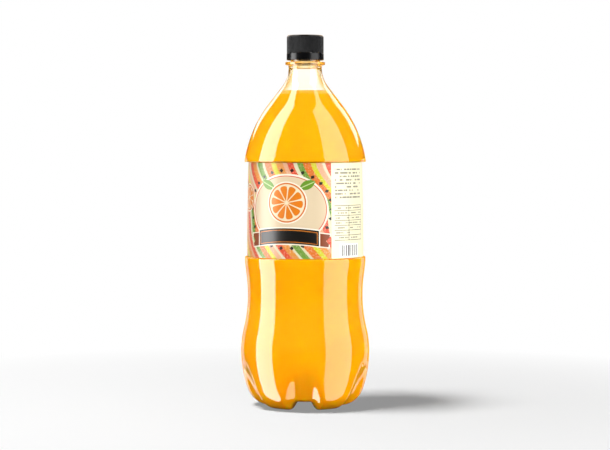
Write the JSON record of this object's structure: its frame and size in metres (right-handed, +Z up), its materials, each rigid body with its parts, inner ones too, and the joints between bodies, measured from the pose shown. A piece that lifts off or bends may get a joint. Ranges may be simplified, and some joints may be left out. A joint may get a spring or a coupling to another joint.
{
  "type": "drink bottle",
  "caption": "Filled two-litre plastic drink bottle with a footed base, waisted grip, wrap-round label and a screw cap with a tamper band.",
  "frame": {"origin": "centre of the floor circle under the feet", "axes": "+Z up along the bottle's axis towards the cap, -Y towards the valley of the base that faces the viewer"},
  "size_m": [0.109, 0.109, 0.315],
  "materials": {
    "pet_clear": "clear stretch-blown PET with a faint amber cast, glossy",
    "orange_drink": "cloudy orange soft drink",
    "label_film": "printed polypropylene film, satin",
    "hot_melt": "clear amber hot-melt glue",
    "cap_black": "black moulded polyethylene, satin",
    "liner_white": "soft white sealing compound"
  },
  "bodies": {
    "bottle": {"bottle": "pet_clear", "drink": "orange_drink", "label": "label_film", "label_pickup_glue": "hot_melt", "label_lap_glue": "hot_melt"},
    "seal": {"cap_liner": "liner_white"},
    "cap": {"cap_shell": "cap_black"},
    "band": {"tamper_band": "cap_black"}
  },
  "joints": [
    {"name": "cap_lead", "type": "slide", "parent": "bottle", "child": "seal", "axis": [0, 0, 1], "range_m": [0, 0.01326]},
    {"name": "cap_turn", "type": "hinge", "parent": "seal", "child": "cap", "pos_m": [0, 0, 0.3], "axis": [0, 0, 1], "range_deg": [0, 1500]},
    {"name": "band_drop", "type": "slide", "parent": "bottle", "child": "band", "axis": [0, 0, 1], "range_m": [-0.0014, 0]}
  ],
  "couplings": [
    {"joint": "cap_lead", "follows": "cap_turn", "m_per_rad": 0.00050611}
  ]
}
